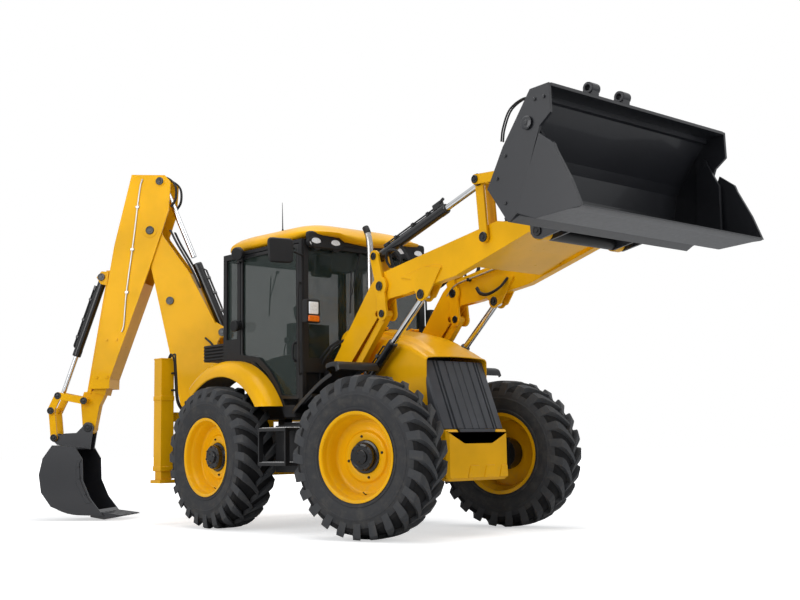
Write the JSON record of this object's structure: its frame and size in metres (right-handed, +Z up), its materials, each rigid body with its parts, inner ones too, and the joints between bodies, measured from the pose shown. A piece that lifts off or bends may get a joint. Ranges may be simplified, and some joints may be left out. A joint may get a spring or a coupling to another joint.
{
  "type": "backhoe loader",
  "caption": "Backhoe loader with equal steered wheels, a clam loader bucket raised in front, and a side-shifting boom, extending dipper and digging bucket turned to the side behind.",
  "frame": {"origin": "middle of the bounding box, on the ground the wheels stand on", "axes": "+X forward along the machine, +Y to the machine's left, +Z up"},
  "size_m": [8.0358, 2.9508, 3.9883],
  "materials": {
    "yellow_paint": "glossy enamel, worn at edges",
    "black_paint": "satin black",
    "charcoal_paint": "satin charcoal, scuffed",
    "tyre_rubber": "matt rubber",
    "rod_chrome": "polished",
    "cast_metal": "rough casting",
    "trim_plastic": "grained black plastic",
    "tinted_glass": "tinted clear",
    "exhaust_steel": "heat-stained steel"
  },
  "bodies": {
    "chassis": {"chassis": "black_paint", "rear_frame": "yellow_paint", "axles": "black_paint", "engine_driveline": "cast_metal", "bumper": "yellow_paint", "cowl": "yellow_paint", "tank_steps": "black_paint", "cab_frame": "black_paint", "cab_roof": "yellow_paint", "cab_glass": "tinted_glass", "rear_fenders": "yellow_paint", "front_fenders": "black_paint", "seat_controls": "trim_plastic", "exhaust": "exhaust_steel"},
    "bonnet": {"bonnet": "yellow_paint", "grille": "trim_plastic"},
    "door_right": {"door_right": "black_paint"},
    "door_left": {"door_left": "black_paint"},
    "knuckle_front_right": {"knuckle_front_right": "black_paint"},
    "wheel_front_right": {"rim_front_right": "yellow_paint", "tyre_front_right": "tyre_rubber"},
    "knuckle_front_left": {"knuckle_front_left": "black_paint"},
    "wheel_front_left": {"rim_front_left": "yellow_paint", "tyre_front_left": "tyre_rubber"},
    "knuckle_rear_right": {"knuckle_rear_right": "black_paint"},
    "wheel_rear_right": {"rim_rear_right": "yellow_paint", "tyre_rear_right": "tyre_rubber"},
    "knuckle_rear_left": {"knuckle_rear_left": "black_paint"},
    "wheel_rear_left": {"rim_rear_left": "yellow_paint", "tyre_rear_left": "tyre_rubber"},
    "loader_arms": {"loader_arms": "yellow_paint"},
    "levelling_links": {"levelling_links": "yellow_paint"},
    "bell_cranks": {"bell_cranks": "yellow_paint"},
    "lift_barrels": {"lift_barrels": "black_paint"},
    "lift_rods": {"lift_rods": "rod_chrome"},
    "tip_barrels": {"tip_barrels": "black_paint"},
    "tip_rods": {"tip_rods": "rod_chrome"},
    "lever_pins": {"lever_pins": "black_paint"},
    "tip_levers": {"tip_levers": "yellow_paint"},
    "link_pins": {"link_pins": "black_paint"},
    "bucket_links": {"bucket_links": "yellow_paint"},
    "bucket_pins": {"bucket_pins": "black_paint"},
    "bucket_back": {"bucket_back": "charcoal_paint"},
    "bucket_clam": {"bucket_clam": "charcoal_paint"},
    "stabiliser_right": {"stabiliser_right": "yellow_paint"},
    "stabiliser_left": {"stabiliser_left": "yellow_paint"},
    "carriage": {"carriage": "yellow_paint"},
    "kingpost": {"kingpost": "yellow_paint"},
    "boom": {"boom": "yellow_paint"},
    "boom_barrel": {"boom_barrel": "black_paint"},
    "boom_rod": {"boom_rod": "rod_chrome"},
    "dipper": {"dipper": "yellow_paint"},
    "dipper_barrel": {"dipper_barrel": "black_paint"},
    "dipper_rod": {"dipper_rod": "rod_chrome"},
    "dipper_slide": {"dipper_slide": "yellow_paint"},
    "hoe_barrel": {"hoe_barrel": "black_paint"},
    "hoe_rod": {"hoe_rod": "rod_chrome"},
    "hoe_lever": {"hoe_lever": "yellow_paint"},
    "hoe_link": {"hoe_link": "yellow_paint"},
    "hoe_bucket": {"hoe_bucket": "charcoal_paint"}
  },
  "joints": [
    {"name": "bonnet_hinge", "type": "hinge", "parent": "chassis", "child": "bonnet", "pos_m": [0.752, 0.16, 1.916], "axis": [0, -1, 0], "range_deg": [0, 55]},
    {"name": "door_right_hinge", "type": "hinge", "parent": "chassis", "child": "door_right", "pos_m": [-0.79, -0.656, 2.4], "axis": [0, 0, -1], "range_deg": [0, 80]},
    {"name": "door_left_hinge", "type": "hinge", "parent": "chassis", "child": "door_left", "pos_m": [-0.79, 0.976, 2.4], "axis": [0, 0, 1], "range_deg": [0, 80]},
    {"name": "steer_front_right", "type": "hinge", "parent": "chassis", "child": "knuckle_front_right", "pos_m": [1.33, -0.54, 0.706], "axis": [0, 0, 1], "range_deg": [-32.5, 3.5]},
    {"name": "wheel_front_right_spin", "type": "hinge", "parent": "knuckle_front_right", "child": "wheel_front_right", "pos_m": [1.39385, -0.78688, 0.706], "axis": [-0.2504, 0.9681, 0], "continuous": true},
    {"name": "steer_front_left", "type": "hinge", "parent": "chassis", "child": "knuckle_front_left", "pos_m": [1.33, 0.86, 0.706], "axis": [0, 0, 1], "range_deg": [-33, 4]},
    {"name": "wheel_front_left_spin", "type": "hinge", "parent": "knuckle_front_left", "child": "wheel_front_left", "pos_m": [1.26615, 1.10688, 0.706], "axis": [-0.2504, 0.9681, 0], "continuous": true},
    {"name": "steer_rear_right", "type": "hinge", "parent": "chassis", "child": "knuckle_rear_right", "pos_m": [-0.89, -0.54, 0.706], "axis": [0, 0, 1], "range_deg": [-18, 18]},
    {"name": "wheel_rear_right_spin", "type": "hinge", "parent": "knuckle_rear_right", "child": "wheel_rear_right", "pos_m": [-0.89, -0.795, 0.706], "axis": [0, 1, 0], "continuous": true},
    {"name": "steer_rear_left", "type": "hinge", "parent": "chassis", "child": "knuckle_rear_left", "pos_m": [-0.89, 0.86, 0.706], "axis": [0, 0, 1], "range_deg": [-18.5, 18.5]},
    {"name": "wheel_rear_left_spin", "type": "hinge", "parent": "knuckle_rear_left", "child": "wheel_rear_left", "pos_m": [-0.89, 1.115, 0.706], "axis": [0, 1, 0], "continuous": true},
    {"name": "loader_lift", "type": "hinge", "parent": "chassis", "child": "loader_arms", "pos_m": [0.36, 0.16, 1.45], "axis": [0, -1, 0], "range_deg": [-50, 23.3]},
    {"name": "levelling_links_root", "type": "hinge", "parent": "chassis", "child": "levelling_links", "pos_m": [0.388, 0.16, 1.193], "axis": [0, -1, 0], "range_deg": [-50.5, 23.8]},
    {"name": "bell_cranks_pivot", "type": "hinge", "parent": "loader_arms", "child": "bell_cranks", "pos_m": [1.088, 0.16, 2.254], "axis": [0, -1, 0], "range_deg": [-23.8, 50.5]},
    {"name": "lift_barrels_root", "type": "hinge", "parent": "chassis", "child": "lift_barrels", "pos_m": [0.44, 0.16, 1.05], "axis": [0, -1, 0], "range_deg": [-46.34, 21.86]},
    {"name": "lift_rods_slide", "type": "slide", "parent": "lift_barrels", "child": "lift_rods", "axis": [0.7406, 0, 0.6719], "range_m": [-0.32537, 0.15269]},
    {"name": "tip_barrels_root", "type": "hinge", "parent": "bell_cranks", "child": "tip_barrels", "pos_m": [1.011, 0.16, 2.541], "axis": [0, -1, 0], "range_deg": [-50.5, 23.8]},
    {"name": "lever_pins_carry", "type": "hinge", "parent": "loader_arms", "child": "lever_pins", "pos_m": [2.43, 0.16, 2.523], "axis": [0, -1, 0], "range_deg": [-23.8, 50.5]},
    {"name": "bucket_pins_carry", "type": "hinge", "parent": "loader_arms", "child": "bucket_pins", "pos_m": [3.03, 0.16, 2.49], "axis": [0, -1, 0], "range_deg": [-23.8, 50.5]},
    {"name": "bucket_crowd", "type": "hinge", "parent": "bucket_pins", "child": "bucket_back", "pos_m": [3.03, 0.16, 2.49], "axis": [0, 1, 0], "range_deg": [-40, 45]},
    {"name": "tip_levers_pivot", "type": "hinge", "parent": "lever_pins", "child": "tip_levers", "pos_m": [2.43, 0.16, 2.523], "axis": [0, 1, 0], "range_deg": [-40.5, 45.5]},
    {"name": "link_pins_carry", "type": "hinge", "parent": "tip_levers", "child": "link_pins", "pos_m": [2.387, 0.16, 3.019], "axis": [0, -1, 0], "range_deg": [-50.5, 23.8]},
    {"name": "bucket_links_pivot", "type": "hinge", "parent": "link_pins", "child": "bucket_links", "pos_m": [2.387, 0.16, 3.019], "axis": [0, 1, 0], "range_deg": [-45.5, 40.5]},
    {"name": "tip_rods_slide", "type": "slide", "parent": "tip_barrels", "child": "tip_rods", "axis": [0.9446, 0, 0.3281], "range_m": [-0.31448, 0.35354]},
    {"name": "clam_open", "type": "hinge", "parent": "bucket_back", "child": "bucket_clam", "pos_m": [3.5, 0.16, 3.166], "axis": [0, -1, 0], "range_deg": [0, 60]},
    {"name": "stabiliser_right_down", "type": "slide", "parent": "chassis", "child": "stabiliser_right", "axis": [0, 0, -1], "range_m": [0, 0.5]},
    {"name": "stabiliser_left_down", "type": "slide", "parent": "chassis", "child": "stabiliser_left", "axis": [0, 0, -1], "range_m": [0, 0.5]},
    {"name": "sideshift", "type": "slide", "parent": "chassis", "child": "carriage", "axis": [0, 1, 0], "range_m": [-0.55, 0.55]},
    {"name": "slew", "type": "hinge", "parent": "carriage", "child": "kingpost", "pos_m": [-2.25, 0.16, 0.75], "axis": [0, 0, 1], "range_deg": [-132, 48]},
    {"name": "boom_lower", "type": "hinge", "parent": "kingpost", "child": "boom", "pos_m": [-2.48037, -0.04743, 1], "axis": [0.6691, -0.7431, 0], "range_deg": [-6, 100]},
    {"name": "boom_barrel_root", "type": "hinge", "parent": "kingpost", "child": "boom_barrel", "pos_m": [-2.30945, 0.10647, 1.125], "axis": [0.6691, -0.7431, 0], "range_deg": [-6.04, 92.92]},
    {"name": "boom_rod_slide", "type": "slide", "parent": "boom_barrel", "child": "boom_rod", "axis": [-0.2821, -0.254, 0.9252], "range_m": [-0.0229, 0.35036]},
    {"name": "dipper_out", "type": "hinge", "parent": "boom", "child": "dipper", "pos_m": [-2.90397, -0.42884, 3.32], "axis": [-0.6691, 0.7431, 0], "range_deg": [0, 95]},
    {"name": "dipper_barrel_root", "type": "hinge", "parent": "boom", "child": "dipper_barrel", "pos_m": [-2.26486, 0.14662, 2.11], "axis": [-0.6691, 0.7431, 0], "range_deg": [-0.5, 12.81]},
    {"name": "dipper_rod_slide", "type": "slide", "parent": "dipper_barrel", "child": "dipper_rod", "axis": [-0.2872, -0.2586, 0.9223], "range_m": [-0.82904, 0.002]},
    {"name": "dipper_extend", "type": "slide", "parent": "dipper", "child": "dipper_slide", "axis": [-0.1798, -0.1619, -0.9703], "range_m": [0, 1.1]},
    {"name": "hoe_bucket_open", "type": "hinge", "parent": "dipper_slide", "child": "hoe_bucket", "pos_m": [-3.45687, -0.92667, 1.044], "axis": [-0.6691, 0.7431, 0], "range_deg": [-60, 80]},
    {"name": "hoe_lever_pivot", "type": "hinge", "parent": "dipper_slide", "child": "hoe_lever", "pos_m": [-3.48065, -0.94808, 1.356], "axis": [-0.6691, 0.7431, 0], "range_deg": [-60.5, 80.5]},
    {"name": "hoe_link_pivot", "type": "hinge", "parent": "hoe_lever", "child": "hoe_link", "pos_m": [-3.77568, -1.21372, 1.249], "axis": [-0.6691, 0.7431, 0], "range_deg": [-80.5, 60.5]},
    {"name": "hoe_barrel_root", "type": "hinge", "parent": "dipper_slide", "child": "hoe_barrel", "pos_m": [-3.35729, -0.837, 2.8], "axis": [-0.6691, 0.7431, 0], "range_deg": [-1.09, 0.94]},
    {"name": "hoe_rod_slide", "type": "slide", "parent": "hoe_barrel", "child": "hoe_rod", "axis": [-0.2441, -0.2198, -0.9445], "range_m": [-0.34469, 0.25902]}
  ],
  "couplings": [
    {"joint": "steer_front_left", "follows": "steer_front_right", "ratio": 1},
    {"joint": "steer_rear_left", "follows": "steer_rear_right", "ratio": 1},
    {"joint": "levelling_links_root", "follows": "loader_lift", "ratio": 1},
    {"joint": "bell_cranks_pivot", "follows": "loader_lift", "ratio": -1},
    {"joint": "lift_barrels_root", "follows": "loader_lift", "ratio": 0.91681},
    {"joint": "lift_rods_slide", "follows": "loader_lift", "m_per_rad": 0.37055},
    {"joint": "tip_barrels_root", "follows": "loader_lift", "ratio": 1},
    {"joint": "lever_pins_carry", "follows": "loader_lift", "ratio": -1},
    {"joint": "bucket_pins_carry", "follows": "loader_lift", "ratio": -1},
    {"joint": "tip_levers_pivot", "follows": "bucket_crowd", "ratio": 1},
    {"joint": "link_pins_carry", "follows": "loader_lift", "ratio": 1},
    {"joint": "bucket_links_pivot", "follows": "bucket_crowd", "ratio": -1},
    {"joint": "tip_rods_slide", "follows": "bucket_crowd", "m_per_rad": 0.44759},
    {"joint": "boom_barrel_root", "follows": "boom_lower", "ratio": 0.92418},
    {"joint": "boom_rod_slide", "follows": "boom_lower", "m_per_rad": 0.1996},
    {"joint": "dipper_barrel_root", "follows": "dipper_out", "ratio": 0.1296},
    {"joint": "dipper_rod_slide", "follows": "dipper_out", "m_per_rad": -0.4988},
    {"joint": "hoe_lever_pivot", "follows": "hoe_bucket_open", "ratio": 1},
    {"joint": "hoe_link_pivot", "follows": "hoe_bucket_open", "ratio": -1},
    {"joint": "hoe_barrel_root", "follows": "hoe_bucket_open", "ratio": -0.007333},
    {"joint": "hoe_rod_slide", "follows": "hoe_bucket_open", "m_per_rad": -0.24543}
  ]
}
